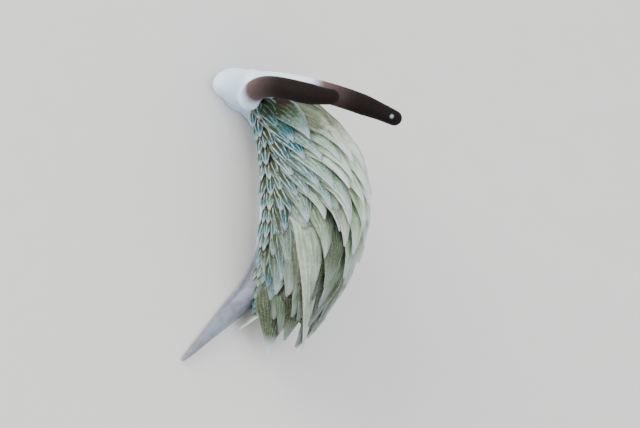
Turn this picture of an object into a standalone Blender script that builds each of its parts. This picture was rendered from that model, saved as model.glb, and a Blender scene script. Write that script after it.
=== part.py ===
"""A rabbit sap-sucking slug at life size: a sea slug about 10 mm long, crawling with its head turned left.

Sizes are in millimetres until MM turns them into Blender's metres. The middle of the foot's sole is the
origin, the floor is z = 0 and the middle of the body heads along +Y. A place is a distance along the spine.
"""

import math
import random

import bmesh
import bpy
from mathutils import Matrix, Vector

MM = 0.001
UP = Vector((0, 0, 1))

# The spine: how far it runs each way from the origin, and how far it turns.
HEAD_END = 4.6
TAIL_END = -6.0
HEAD_TURN = math.radians(112)
HEAD_TURN_POWER = 1.96
TAIL_TURN = math.radians(42)
TAIL_TURN_OVER = 3.4
SPINE_STEP = 0.1

# Where one length of the body ends and the next begins.
GAP = 0.3
NECK_FRONT = 3.2
NECK_REAR = 2.5
TORSO_REAR = -3.3

# Sizes along the body: (place, half width, height).
HEAD_SIZES = ((3.2, 0.48, 0.76), (3.6, 0.62, 0.98), (4.0, 0.68, 0.98), (4.6, 0.62, 0.84))
NECK_SIZES = ((2.5, 0.46, 0.68), (2.9, 0.45, 0.68), (3.2, 0.48, 0.76))
TORSO_SIZES = (
    (-3.3, 0.40, 1.00), (-2.0, 0.58, 1.30), (0.0, 0.70, 1.50), (1.6, 0.66, 1.45), (2.55, 0.58, 1.30),
)
FOOT_HEIGHT = 0.4
TORSO_BOTTOM = FOOT_HEIGHT + GAP
TAIL_SIZES = ((-6.0, 0.07, 0.15), (-5.2, 0.20, 0.26), (-4.2, 0.33, 0.42), (-3.3, 0.42, 0.60))
FOOT_HALF_WIDTHS = ((-3.3, 0.44), (-1.5, 0.54), (0.8, 0.58), (2.55, 0.54))
FOOT_SIZES = tuple((place, half_width, FOOT_HEIGHT) for place, half_width in FOOT_HALF_WIDTHS)

# How much of the body's own turn the lie of the cerata follows.
BODY_SHARE = 0.9

# Cross-sections: the height of the widest level over the bottom, and how wide the flat bottom is.
FLANK = 0.22
FOOT_FLANK = 0.12
SOLE_SHARE = 0.80
ARCH_POINTS = 11
HEAD_FLANK = 0.36
HEAD_ROUNDED_OVER = 0.75
# The head's sole lifts off the floor as the front narrows to less than this share of the width.
HEAD_LIFTS_BELOW = 0.8

# The mouth: a bent slit between two rounded lips, low on the head's front.
MOUTH_PLACE = 4.52
MOUTH_LEVEL = 0.24
MOUTH_HALF = (0.26, 0.16, 0.035)
MOUTH_BEND = 0.9
LIP_RADII = (0.22, 0.20, 0.17)
LIP_APART = 0.46
LIP_PLACE = 4.36
LIP_LEVEL = 0.26

# Cerata, the leaf-shaped outgrowths of the back. Each side has tiers of them, in rows from front to rear.
# A tier's angles are leans from straight up, and a minus leans over the back.
TIER_ROWS = (11, 12, 13, 14, 14)
TIER_ROOT_LEANS = (40, 56, 70, 82, 94)
TIER_GROWTH_LEANS = (-14, 12, 38, 64, 92)
TIER_RISES = (1.85, 1.50, 1.05, 0.60, 0.32)
TIER_REACHES = (2.35, 2.00, 1.55, 1.10, 0.84)
TIER_WIDTHS = (0.90, 0.80, 0.66, 0.56, 0.50)
# How far the whole coat leans over to the right, least on the lowest tier.
COAT_LEAN = 14
CERAS_THICKNESS = 0.50
CERAS_SIDES = 6
CERAS_RINGS = (0.0, 0.26, 0.50, 0.72, 0.89)
CERAS_BROADEST = 0.58
CERAS_THICK_FROM = 0.8
TIP_BLUNTNESS = 0.8
ROOT_SHARE = 0.55
ROOT_DEPTH = 0.35
# How much of its rise and of its reach a ceras has made at the two middle points of its path.
CERAS_BENDS = ((0.50, 0.06), (0.95, 0.45))
# How high and how far the cerata of the first and the last rows reach, beside the middle ones, and where
# along the rows that starts.
FRONT_RISE = 0.88
FRONT_REACH = 0.85
FRONT_UNTIL = 0.3
REAR_FALL = 0.40
REAR_FROM = 0.5
FRONT_ROW = 2.40
REAR_ROW = -3.0
FORWARD_LEAN = 0.95
FORWARD_ROWS = 0.22
PLACE_PLAY = 0.07
LEAN_PLAY = 9
SIZE_PLAY = 0.08
SWAY_PLAY = 0.10
SEED = 12

# Rhinophores, the two feelers. Each path is a Bezier curve's four points, from the head to the tip.
RHINOPHORE_RADIUS = 0.25
RHINOPHORE_ROOT_RADIUS = 0.19
RHINOPHORE_FULL_FROM = 0.3
RHINOPHORE_ROUNDED_FROM = 0.72
RHINOPHORE_TIP_POWER = 2.4
RHINOPHORE_PATHS = {
    "left": ((-1.86, 2.80, 1.30), (-2.15, 2.62, 2.00), (-1.80, 2.45, 2.95), (-1.02, 2.42, 3.70)),
    "right": ((-1.56, 3.42, 1.30), (-1.25, 3.37, 1.95), (0.10, 3.15, 2.75), (1.52, 2.52, 3.45)),
}
STALK_RADIUS = 0.25
STALK_SUNK = 0.45

# Eyes, close together behind the rhinophores, each in its own pit.
EYE_RADIUS = 0.12
EYE_APART = 0.36
EYE_PLACE = 3.46
EYE_LEVEL = 0.86
EYE_ROOM = 0.08


def smooth(t):
    """0 to 1 with soft ends."""
    t = min(1.0, max(0.0, t))
    return t * t * (3 - 2 * t)


def along(sizes, place):
    """The sizes at a place, read softly between the listed ones."""
    for low, high in zip(sizes, sizes[1:]):
        if place <= high[0] or high is sizes[-1]:
            t = smooth((place - low[0]) / (high[0] - low[0]))
            return [a + (b - a) * t for a, b in zip(low[1:], high[1:])]


def heading(place):
    """How far the body points to the left of +Y, in radians."""
    if place > 0:
        return HEAD_TURN * (place / HEAD_END) ** HEAD_TURN_POWER
    return -TAIL_TURN * smooth(-place / TAIL_TURN_OVER)


def spine(place):
    """The point on the floor under the spine at this place."""
    steps = max(1, round(abs(place) / SPINE_STEP))
    step = place / steps
    point = Vector((0, 0, 0))
    for i in range(steps):
        turn = heading((i + 0.5) * step)
        point += Vector((-math.sin(turn), math.cos(turn), 0)) * step
    return point


def leftwards(place):
    turn = heading(place)
    return Vector((-math.cos(turn), -math.sin(turn), 0))


def material(name, colour, roughness):
    made = bpy.data.materials.new(name)
    made.use_nodes = True
    shader = made.node_tree.nodes["Principled BSDF"]
    shader.inputs["Base Color"].default_value = (*colour, 1)
    shader.inputs["Roughness"].default_value = roughness
    shader.inputs["Metallic"].default_value = 0
    return made


def as_object(name, mesh, finish):
    """The mesh as a smooth object, in metres."""
    bmesh.ops.recalc_face_normals(mesh, faces=mesh.faces)
    bmesh.ops.scale(mesh, vec=(MM, MM, MM), verts=mesh.verts)
    data = bpy.data.meshes.new(name)
    mesh.to_mesh(data)
    mesh.free()
    data.materials.append(finish)
    data.shade_smooth()
    made = bpy.data.objects.new(name, data)
    bpy.context.scene.collection.objects.link(made)
    return made


def loft(mesh, rings, tip=None):
    """Faces from each ring of points to the next, with a flat cap at the start and a cap or tip at the end."""
    loops = [[mesh.verts.new(p) for p in ring] for ring in rings]
    count = len(loops[0])
    for low, high in zip(loops, loops[1:]):
        for k in range(count):
            after = (k + 1) % count
            mesh.faces.new((low[k], low[after], high[after], high[k]))
    mesh.faces.new(loops[0])
    if tip is None:
        mesh.faces.new(loops[-1])
        return
    end = mesh.verts.new(tip)
    for k in range(count):
        mesh.faces.new((loops[-1][k], loops[-1][(k + 1) % count], end))


def section(place, half_width, top, bottom, flank):
    """A ring across the body: an arch over a flat bottom."""
    middle, side = spine(place), leftwards(place)
    ring = []
    for k in range(ARCH_POINTS):
        t = math.pi * k / (ARCH_POINTS - 1)
        height = bottom + flank + (top - bottom - flank) * math.sin(t)
        ring.append(middle + side * (half_width * math.cos(t)) + UP * height)
    for share in (-SOLE_SHARE, SOLE_SHARE):
        ring.append(middle + side * (half_width * share) + UP * bottom)
    return ring


def body_length(mesh, sizes, rear, front, bottom=0.0, flank=FLANK, rings=8):
    """A length of the body between two flat ends."""
    places = [rear + (front - rear) * i / (rings - 1) for i in range(rings)]
    loft(mesh, [section(p, *along(sizes, p), bottom, flank) for p in places])


def rounded_length(mesh, sizes, rear, front, flank, rounded_over, rings=14):
    """A length of the body with a flat rear end and a front end that closes like an egg."""
    inner = [section(p, *along(sizes, p), 0.0, flank) for p in (rear, (rear + front - rounded_over) / 2)]
    for i in range(rings):
        t = math.pi / 2 * i / rings
        place = front - rounded_over * (1 - math.sin(t))
        half_width, top = along(sizes, place)
        share = math.cos(t)
        bottom = flank * max(0.0, 1 - share / HEAD_LIFTS_BELOW)
        ring = section(place, half_width * share, flank + (top - flank) * share, bottom, (flank - bottom))
        inner.append(ring)
    loft(mesh, inner, tip=spine(front) + UP * flank)


def ball(mesh, centre, radii, turn=0.0, segments=12, rings=8):
    """An ellipsoid. Its radii are across the body, along it and upwards."""
    for vert in bmesh.ops.create_uvsphere(mesh, u_segments=segments, v_segments=rings, radius=1)["verts"]:
        x, y, z = (a * b for a, b in zip(vert.co, radii))
        round_x = x * math.cos(turn) - y * math.sin(turn)
        round_y = x * math.sin(turn) + y * math.cos(turn)
        vert.co = Vector((round_x, round_y, z)) + centre


def bezier(points, t):
    a, b, c, d = (Vector(p) for p in points)
    s = 1 - t
    return a * s**3 + b * (3 * s * s * t) + c * (3 * s * t * t) + d * t**3


def bezier_way(points, t):
    a, b, c, d = (Vector(p) for p in points)
    s = 1 - t
    return ((b - a) * (s * s) + (c - b) * (2 * s * t) + (d - c) * (t * t)).normalized()


def tube(mesh, points, radius_at, steps, sides, flat_end=False):
    """A round rod along a Bezier curve, flat at its root and closed to a point or a flat at its end."""
    rings = []
    across = None
    for i in range(steps + flat_end):
        t = i / steps
        centre, way = bezier(points, t), bezier_way(points, t)
        across = (across or Vector((1, 0, 0))).cross(way).cross(way).normalized() * -1
        other = way.cross(across)
        rings.append([
            centre + (across * math.cos(a) + other * math.sin(a)) * radius_at(t)
            for a in (math.tau * k / sides for k in range(sides))
        ])
    loft(mesh, rings, tip=None if flat_end else bezier(points, 1))


def rhinophore_radius(t):
    """Thinner at the root, full along its length and rounded at the tip."""
    swell = RHINOPHORE_RADIUS - RHINOPHORE_ROOT_RADIUS
    full = RHINOPHORE_ROOT_RADIUS + swell * smooth(t / RHINOPHORE_FULL_FROM)
    near_tip = max(0.0, (t - RHINOPHORE_ROUNDED_FROM) / (1 - RHINOPHORE_ROUNDED_FROM))
    return full * math.sqrt(max(0.0, 1 - near_tip ** RHINOPHORE_TIP_POWER))


def combined(base, pieces, operation, finish, solver="EXACT"):
    """The base joined with closed pieces, or cut by them, in one Boolean. The pieces are used up."""
    group = bpy.data.collections.new("pieces")
    for piece in pieces:
        bpy.context.scene.collection.objects.unlink(piece)
        group.objects.link(piece)
    boolean = base.modifiers.new("Boolean", "BOOLEAN")
    boolean.operation = operation
    boolean.operand_type = "COLLECTION"
    boolean.collection = group
    boolean.solver = solver
    graph = bpy.context.evaluated_depsgraph_get()
    data = bpy.data.meshes.new_from_object(base.evaluated_get(graph))
    base.modifiers.clear()
    base.data = data
    for piece in pieces:
        bpy.data.objects.remove(piece)
    bpy.data.collections.remove(group)
    keep_largest(data)
    data.materials.clear()
    data.materials.append(finish)
    data.shade_smooth()


def keep_largest(data):
    """Drops every closed surface but the largest, and the points that only divide an edge."""
    mesh = bmesh.new()
    mesh.from_mesh(data)
    dividing = [vert for vert in mesh.verts if len(vert.link_edges) == 2]
    bmesh.ops.dissolve_verts(mesh, verts=dividing)
    bmesh.ops.triangulate(mesh, faces=mesh.faces)
    alike = {}
    for face in mesh.faces:
        alike.setdefault(frozenset(face.verts), []).append(face)
    folded = [face for faces in alike.values() if len(faces) > 1 for face in faces]
    bmesh.ops.delete(mesh, geom=folded, context="FACES")
    unseen, surfaces = set(mesh.faces), []
    while unseen:
        surface, reached = [], [unseen.pop()]
        while reached:
            face = reached.pop()
            surface.append(face)
            beside = {other for edge in face.edges for other in edge.link_faces} & unseen
            unseen -= beside
            reached.extend(beside)
        surfaces.append(surface)
    surfaces.sort(key=lambda surface: sum(face.calc_area() for face in surface))
    for surface in surfaces[:-1]:
        bmesh.ops.delete(mesh, geom=surface, context="FACES")
    mesh.to_mesh(data)
    mesh.free()


def leaning(place, side, lean):
    """A direction across the body at a lean from straight up, in degrees."""
    angle = math.radians(lean)
    return leftwards(place) * (side * math.sin(angle)) + UP * math.cos(angle)


def torso_point(place, side, lean):
    """The point of the torso's skin at a lean from its widest level's middle."""
    half_width, top = along(TORSO_SIZES, place)
    level = TORSO_BOTTOM + FLANK
    angle = math.radians(lean)
    out = leftwards(place) * (side * half_width * math.sin(angle))
    return spine(place) + out + UP * (level + (top - level) * max(0.0, math.cos(angle)))


def backwards(place):
    """The way that the cerata lie: mostly straight back, and a little along the turning body."""
    along_body = UP.cross(leftwards(place))
    return (along_body * BODY_SHARE + Vector((0, -1, 0))).normalized()


def breadth(t):
    """How broad a ceras is at a share of its length: a narrow root, a full middle and a pointed tip."""
    if t < CERAS_BROADEST:
        return ROOT_SHARE + (1 - ROOT_SHARE) * math.sin(math.pi / 2 * t / CERAS_BROADEST)
    return math.cos(math.pi / 2 * (t - CERAS_BROADEST) / (1 - CERAS_BROADEST)) ** TIP_BLUNTNESS


def build_ceras(path, flat, width, finish):
    """One leaf-shaped ceras along its path, with its flat sides facing in and out."""
    mesh = bmesh.new()
    rings = []
    for t in CERAS_RINGS:
        centre, way = bezier(path, t), bezier_way(path, t)
        broad = (flat - way * flat.dot(way)).normalized()
        thick = broad.cross(way)
        half_width = width / 2 * breadth(t)
        half_depth = CERAS_THICKNESS / 2 * min(1.0, breadth(t) / CERAS_THICK_FROM)
        rings.append([
            centre + broad * (half_width * math.cos(a)) + thick * (half_depth * math.sin(a))
            for a in (math.tau * k / CERAS_SIDES for k in range(CERAS_SIDES))
        ])
    loft(mesh, rings, tip=bezier(path, 1))
    return as_object("ceras", mesh, finish)


def row_rise(share):
    """How high the cerata stand from the first row, 0, to the last, 1."""
    rise = FRONT_RISE + (1 - FRONT_RISE) * smooth(share / FRONT_UNTIL)
    return rise - REAR_FALL * smooth((share - REAR_FROM) / (1 - REAR_FROM))


def row_reach(share):
    """How far back the cerata lie from the first row, 0, to the last, 1."""
    return FRONT_REACH + (1 - FRONT_REACH) * smooth(share / FRONT_UNTIL)


def build_cerata(finish):
    draw = random.Random(SEED)
    made = []
    for tier, rows in enumerate(TIER_ROWS):
        for row in range(rows):
            for side in (1, -1):
                share = (row + 0.5 * (tier % 2)) / rows
                place = FRONT_ROW + (REAR_ROW - FRONT_ROW) * share + draw.uniform(-PLACE_PLAY, PLACE_PLAY)
                play = draw.uniform(-LEAN_PLAY, LEAN_PLAY)
                size = 1 + draw.uniform(-SIZE_PLAY, SIZE_PLAY)
                coat_lean = COAT_LEAN * side * (1 - tier / len(TIER_ROWS))
                rise = leaning(place, side, TIER_GROWTH_LEANS[tier] - coat_lean + play)
                out = leaning(place, side, TIER_ROOT_LEANS[tier] + play)
                back = backwards(place) + leftwards(place) * draw.uniform(-SWAY_PLAY, SWAY_PLAY)
                lean_forward = FORWARD_LEAN * (1 - smooth(share / FORWARD_ROWS)) * (1 - tier / len(TIER_ROWS))
                rise = (rise - back * lean_forward).normalized()
                root = torso_point(place, side, TIER_ROOT_LEANS[tier] + play)
                high = TIER_RISES[tier] * size * row_rise(share)
                far = TIER_REACHES[tier] * size * row_reach(share)
                bends = [root + rise * (up * high) + back * (on * far) for up, on in CERAS_BENDS]
                path = (root - out * ROOT_DEPTH, *bends, root + rise * high + back * far)
                made.append(build_ceras(path, rise.cross(back), TIER_WIDTHS[tier], finish))
    return made


def build_torso(skin, leaf):
    mesh = bmesh.new()
    body_length(mesh, TORSO_SIZES, TORSO_REAR + GAP / 2, NECK_REAR - GAP / 2, bottom=TORSO_BOTTOM, rings=14)
    torso = as_object("torso", mesh, skin)
    combined(torso, build_cerata(leaf), "UNION", leaf, solver="MANIFOLD")
    return torso


def build_foot(finish):
    mesh = bmesh.new()
    body_length(mesh, FOOT_SIZES, TORSO_REAR + GAP / 2, NECK_REAR - GAP / 2, flank=FOOT_FLANK, rings=16)
    return as_object("foot", mesh, finish)


def build_tail(finish):
    mesh = bmesh.new()
    body_length(mesh, TAIL_SIZES, TAIL_END, TORSO_REAR - GAP / 2, flank=FOOT_FLANK, rings=10)
    return as_object("tail", mesh, finish)


def build_neck(finish):
    mesh = bmesh.new()
    body_length(mesh, NECK_SIZES, NECK_REAR + GAP / 2, NECK_FRONT - GAP / 2, rings=4)
    return as_object("neck", mesh, finish)


def eye_centre(side):
    return spine(EYE_PLACE) + leftwards(EYE_PLACE) * (side * EYE_APART / 2) + UP * EYE_LEVEL


def build_lips(finish):
    made = []
    for side in (-1, 1):
        mesh = bmesh.new()
        centre = spine(LIP_PLACE) + leftwards(LIP_PLACE) * (side * LIP_APART / 2) + UP * LIP_LEVEL
        ball(mesh, centre, LIP_RADII, heading(LIP_PLACE))
        made.append(as_object("lip", mesh, finish))
    return made


def build_stalk(side, finish):
    """The short stalk that a rhinophore stands on."""
    path = RHINOPHORE_PATHS[side]
    way = bezier_way(path, 0)
    foot, top = Vector(path[0]) - way * (GAP + STALK_SUNK), Vector(path[0]) - way * GAP
    mesh = bmesh.new()
    points = (foot, foot.lerp(top, 1 / 3), foot.lerp(top, 2 / 3), top)
    tube(mesh, points, lambda t: STALK_RADIUS, steps=3, sides=12, flat_end=True)
    return as_object("stalk", mesh, finish)


def build_mouth_cutter(finish):
    mesh = bmesh.new()
    ball(mesh, Vector((0, 0, 0)), MOUTH_HALF, segments=20, rings=6)
    for vert in mesh.verts:
        vert.co.z += MOUTH_BEND * vert.co.x ** 2
    turn = heading(MOUTH_PLACE)
    bmesh.ops.rotate(mesh, verts=mesh.verts, matrix=Matrix.Rotation(turn, 3, "Z"))
    bmesh.ops.translate(mesh, verts=mesh.verts, vec=spine(MOUTH_PLACE) + UP * MOUTH_LEVEL)
    return as_object("mouth", mesh, finish)


def build_pit_cutter(side, finish):
    mesh = bmesh.new()
    room = EYE_RADIUS + EYE_ROOM
    ball(mesh, eye_centre(side), (room, room, room))
    return as_object("pit", mesh, finish)


def build_head(finish):
    mesh = bmesh.new()
    rounded_length(mesh, HEAD_SIZES, NECK_FRONT + GAP / 2, HEAD_END, HEAD_FLANK, HEAD_ROUNDED_OVER)
    head = as_object("head", mesh, finish)
    stalks = [build_stalk(side, finish) for side in RHINOPHORE_PATHS]
    combined(head, build_lips(finish) + stalks, "UNION", finish)
    pits = [build_pit_cutter(side, finish) for side in (-1, 1)]
    combined(head, [build_mouth_cutter(finish), *pits], "DIFFERENCE", finish)
    return head


def build_eye(name, side, finish):
    mesh = bmesh.new()
    ball(mesh, eye_centre(side), (EYE_RADIUS, EYE_RADIUS, EYE_RADIUS))
    return as_object(name, mesh, finish)


def build_rhinophore(side, finish):
    mesh = bmesh.new()
    tube(mesh, RHINOPHORE_PATHS[side], rhinophore_radius, steps=18, sides=12)
    return as_object("rhinophore_" + side, mesh, finish)


def main():
    for old in list(bpy.data.objects):
        bpy.data.objects.remove(old)
    skin = material("skin", (0.80, 0.84, 0.90), 0.35)
    leaf = material("cerata", (0.42, 0.52, 0.42), 0.40)
    dark = material("rhinophores", (0.05, 0.03, 0.03), 0.45)
    black = material("eyes", (0.01, 0.01, 0.01), 0.2)
    build_head(skin)
    build_neck(skin)
    build_torso(skin, leaf)
    build_foot(skin)
    build_tail(skin)
    for side in RHINOPHORE_PATHS:
        build_rhinophore(side, dark)
    build_eye("eye_left", 1, black)
    build_eye("eye_right", -1, black)


main()
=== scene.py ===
# %% [markdown]
# A rabbit sap-sucking slug is a sea slug about 10 mm long. Its head is milky white, two dark feelers stand
# on it like a rabbit's ears, and leaf-shaped cerata cover its back. This lesson dresses the still model of
# one. The frame holds the plain solids at life size, so it is loaded first, and the rest is fitted to it.

# %% Load the frame
import math
import random

import bpy
import numpy as np
from mathutils import Matrix, Vector


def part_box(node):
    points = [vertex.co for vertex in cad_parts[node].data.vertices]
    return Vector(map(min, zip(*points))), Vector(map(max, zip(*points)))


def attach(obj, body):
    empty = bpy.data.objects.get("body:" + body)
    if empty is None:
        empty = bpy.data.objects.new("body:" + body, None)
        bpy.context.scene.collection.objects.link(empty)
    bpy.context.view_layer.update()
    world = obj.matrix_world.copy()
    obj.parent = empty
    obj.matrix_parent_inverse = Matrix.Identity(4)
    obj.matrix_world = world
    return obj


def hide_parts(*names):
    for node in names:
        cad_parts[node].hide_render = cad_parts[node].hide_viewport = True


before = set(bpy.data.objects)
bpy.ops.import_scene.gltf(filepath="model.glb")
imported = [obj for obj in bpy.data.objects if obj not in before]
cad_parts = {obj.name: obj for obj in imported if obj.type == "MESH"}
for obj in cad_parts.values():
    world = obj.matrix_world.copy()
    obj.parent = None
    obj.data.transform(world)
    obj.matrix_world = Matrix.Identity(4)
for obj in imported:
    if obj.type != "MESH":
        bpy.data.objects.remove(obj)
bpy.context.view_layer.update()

MM = 0.001
UP = Vector((0, 0, 1))
print("nodes:", ", ".join(sorted(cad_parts)))

# %% [markdown]
# The slug crawls with its head turned to the left and its tail trailing to the left as well. One curve on
# the floor, the spine, says where the body runs. It could be drawn by hand, but a formula for how far the
# body has turned at each place keeps it smooth. A place is a distance along the spine in millimetres, with
# the tail's tip at the low end. Everything is modelled in millimetres and made metres at the end, because
# several of Blender's tools stop at a tenth of a millimetre when a unit is a metre.

# %% The spine of the body
HEAD_END = 4.6
TAIL_END = -6.0
HEAD_TURN = math.radians(112)
HEAD_TURN_POWER = 1.96
TAIL_TURN = math.radians(42)
TAIL_TURN_OVER = 3.4
SPINE_STEP = 0.1


def smooth(t):
    """0 to 1 with soft ends."""
    t = min(1.0, max(0.0, t))
    return t * t * (3 - 2 * t)


def heading(place):
    """How far the body points to the left of +Y, in radians."""
    if place > 0:
        return HEAD_TURN * (place / HEAD_END) ** HEAD_TURN_POWER
    return -TAIL_TURN * smooth(-place / TAIL_TURN_OVER)


def spine(place):
    """The point on the floor under the spine at this place."""
    steps = max(1, round(abs(place) / SPINE_STEP))
    step = place / steps
    point = Vector((0, 0, 0))
    for i in range(steps):
        turn = heading((i + 0.5) * step)
        point += Vector((-math.sin(turn), math.cos(turn), 0)) * step
    return point


def leftwards(place):
    turn = heading(place)
    return Vector((-math.cos(turn), -math.sin(turn), 0))


def along(sizes, place):
    """The sizes at a place, read softly between the listed ones."""
    for low, high in zip(sizes, sizes[1:]):
        if place <= high[0] or high is sizes[-1]:
            t = smooth((place - low[0]) / (high[0] - low[0]))
            return [a + (b - a) * t for a, b in zip(low[1:], high[1:])]


print("the head's front is at", [round(v, 2) for v in spine(HEAD_END)], "mm")

# %% [markdown]
# The trunk is a soft, rounded tube that swells at the middle and at the head. A cylinder is added, cut into
# rings with bisect, and each ring is selected by its place and resized, as one would do by hand. Metaballs
# would give a softer blend, but their width is hard to set, and here the width must fit the solids.

# %% Tools for shaping by rings
RING_TOLERANCE = 0.0001


def only(piece):
    """Makes the piece the one selected and active object."""
    bpy.ops.object.select_all(action="DESELECT")
    piece.select_set(True)
    bpy.context.view_layer.objects.active = piece


def select_where(piece, test):
    """In edit mode, selects the vertices whose place passes the test."""
    bpy.ops.mesh.select_all(action="DESELECT")
    bpy.ops.object.mode_set(mode="OBJECT")
    for vert in piece.data.vertices:
        vert.select = test(vert.co)
    bpy.ops.object.mode_set(mode="EDIT")


def lying_cylinder(name, sides, rear, front, ends="NGON"):
    """Adds a cylinder of radius 1 along +Y and opens it in edit mode."""
    bpy.ops.mesh.primitive_cylinder_add(
        vertices=sides, radius=1, depth=front - rear, end_fill_type=ends,
        rotation=(math.pi / 2, 0, 0), location=(0, (front + rear) / 2, 0))
    made = bpy.context.object
    made.name = name
    bpy.ops.object.transform_apply(location=True, rotation=True, scale=True)
    bpy.ops.object.mode_set(mode="EDIT")
    return made


def cut_rings(stations):
    """In edit mode, cuts a ring at the place of each station between the two ends."""
    for place, *_ in stations[1:-1]:
        bpy.ops.mesh.select_all(action="SELECT")
        bpy.ops.mesh.bisect(plane_co=(0, place, 0), plane_no=(0, 1, 0))


def shaped_tube(name, stations, sides):
    """A straight tube along +Y. A station is (place, half width, low side, high side)."""
    tube = lying_cylinder(name, sides, stations[0][0], stations[-1][0])
    cut_rings(stations)
    for place, half_width, low, high in stations:
        select_where(tube, lambda co: abs(co.y - place) < RING_TOLERANCE)
        bpy.ops.transform.resize(value=(half_width, 1, (high - low) / 2), center_override=(0, place, 0))
        bpy.ops.transform.translate(value=(0, 0, (high + low) / 2))
    bpy.ops.object.mode_set(mode="OBJECT")
    return tube


def apply_modifiers(piece):
    only(piece)
    for modifier in list(piece.modifiers):
        bpy.ops.object.modifier_apply(modifier=modifier.name)


def round_off(piece, times_over):
    rounding = piece.modifiers.new("Rounding", "SUBSURF")
    rounding.levels = rounding.render_levels = times_over
    apply_modifiers(piece)


print("tools for shaping by rings are ready")

# %% [markdown]
# The trunk is high and round where it carries the cerata, slim at the neck and broad again at the head. The
# foot is a thin flat margin around it, on which the slug crawls. Each is given by its sizes at a few
# places, and a Subdivision modifier rounds what lies between them.

# %% The trunk and the foot
TRUNK = (
    (-6.0, 0.03, 0.04, 0.10), (-5.9, 0.06, 0.02, 0.13), (-5.2, 0.12, 0.01, 0.20), (-4.2, 0.18, 0.01, 0.30),
    (-3.4, 0.23, 0.02, 0.40), (-2.6, 0.28, 0.04, 0.66), (-1.2, 0.44, 0.05, 1.24), (0.2, 0.54, 0.05, 1.50),
    (1.6, 0.52, 0.05, 1.42), (2.4, 0.40, 0.03, 1.02), (2.9, 0.33, 0.02, 0.72), (3.3, 0.44, 0.01, 0.78),
    (3.75, 0.58, 0.01, 0.92), (4.2, 0.54, 0.02, 0.86), (4.6, 0.36, 0.08, 0.68), (4.86, 0.14, 0.22, 0.46),
)
FOOT = (
    (-5.98, 0.05, 0.0, 0.05), (-5.6, 0.11, 0.0, 0.09), (-4.6, 0.20, 0.0, 0.12), (-3.4, 0.34, 0.0, 0.15),
    (-1.5, 0.46, 0.0, 0.15), (0.2, 0.36, 0.0, 0.15), (2.4, 0.34, 0.0, 0.15), (3.1, 0.34, 0.0, 0.15),
    (3.7, 0.54, 0.0, 0.16), (4.15, 0.46, 0.0, 0.15), (4.40, 0.24, 0.02, 0.12),
)
TUBE_SIDES, TUBE_ROUNDINGS = 24, 2

trunk = shaped_tube("trunk", TRUNK, TUBE_SIDES)
foot = shaped_tube("foot_margin", FOOT, TUBE_SIDES)
for tube in (trunk, foot):
    round_off(tube, TUBE_ROUNDINGS)
print("trunk points:", len(trunk.data.vertices), "foot points:", len(foot.data.vertices))

# %% [markdown]
# The straight body is now bent along the spine. A Curve modifier does this too, but it may roll the body as
# it turns. Moving each point by the spine's own formula keeps the sole level, and a ring stays square to
# its way.

# %% Bend the body along its spine
def bend_along_spine(piece):
    """A point's y becomes its place along the spine, and its x lies to the right of it."""
    for vert in piece.data.vertices:
        place = vert.co.y
        vert.co = spine(place) - leftwards(place) * vert.co.x + UP * vert.co.z


for tube in (trunk, foot):
    bend_along_spine(tube)
print("the bent trunk reaches", [round(max(v.co[i] for v in trunk.data.vertices), 2) for i in range(3)])

# %% [markdown]
# The two feelers are rhinophores, with which the slug smells. Each is a smooth finger that bends back over
# the body. A Bezier curve with a round bevel makes one in a few steps, and the radius of its points keeps
# it full along its length and slims it at the tip, where a ball closes it.

# %% Rhinophores
RHINOPHORES = {
    "left": ((-1.62, 2.72, 0.75), (-2.40, 3.12, 1.95), (-1.92, 2.36, 2.90), (-1.08, 2.38, 3.60)),
    "right": ((-1.62, 3.26, 0.80), (-1.42, 3.24, 1.75), (0.00, 3.00, 2.75), (1.46, 2.50, 3.40)),
}
RHINOPHORE_ROOT, RHINOPHORE_FULL, RHINOPHORE_TIP = 0.31, 0.30, 0.22
FULL_FROM, FULL_OVER, SLIM_FROM, SLIM_OVER = 0.10, 0.40, 0.78, 0.22
RHINOPHORE_CUTS, RHINOPHORE_BEVEL = 10, 6
BALL_SEGMENTS, BALL_RINGS = 24, 16


def rhinophore_radius(t):
    """Thick at the root, nearly as thick along its length, and slimmer at the tip."""
    full = RHINOPHORE_ROOT + (RHINOPHORE_FULL - RHINOPHORE_ROOT) * smooth((t - FULL_FROM) / FULL_OVER)
    return full + (RHINOPHORE_TIP - RHINOPHORE_FULL) * smooth((t - SLIM_FROM) / SLIM_OVER)


def build_rhinophore(side):
    root, root_way, tip_way, tip = (Vector(p) for p in RHINOPHORES[side])
    bpy.ops.curve.primitive_bezier_curve_add()
    feeler = bpy.context.object
    feeler.data.dimensions = "3D"
    start, end = feeler.data.splines[0].bezier_points
    for point in (start, end):
        point.handle_left_type = point.handle_right_type = "FREE"
    start.co, start.handle_right, start.handle_left = root, root_way, root * 2 - root_way
    end.co, end.handle_left, end.handle_right = tip, tip_way, tip * 2 - tip_way
    bpy.ops.object.mode_set(mode="EDIT")
    bpy.ops.curve.select_all(action="SELECT")
    bpy.ops.curve.subdivide(number_cuts=RHINOPHORE_CUTS)
    bpy.ops.object.mode_set(mode="OBJECT")
    points = feeler.data.splines[0].bezier_points
    for i, point in enumerate(points):
        point.radius = rhinophore_radius(i / (len(points) - 1))
    feeler.data.bevel_depth = 1
    feeler.data.bevel_resolution = RHINOPHORE_BEVEL
    feeler.data.use_fill_caps = True
    bpy.ops.object.convert(target="MESH")
    feeler = bpy.context.object
    feeler.name = "feeler_" + side
    bpy.ops.mesh.primitive_uv_sphere_add(
        segments=BALL_SEGMENTS, ring_count=BALL_RINGS, radius=RHINOPHORE_TIP, location=tip)
    end_ball = bpy.context.object
    return [feeler, end_ball]


feelers = [piece for side in RHINOPHORES for piece in build_rhinophore(side)]
print("feeler pieces:", len(feelers))

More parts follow.
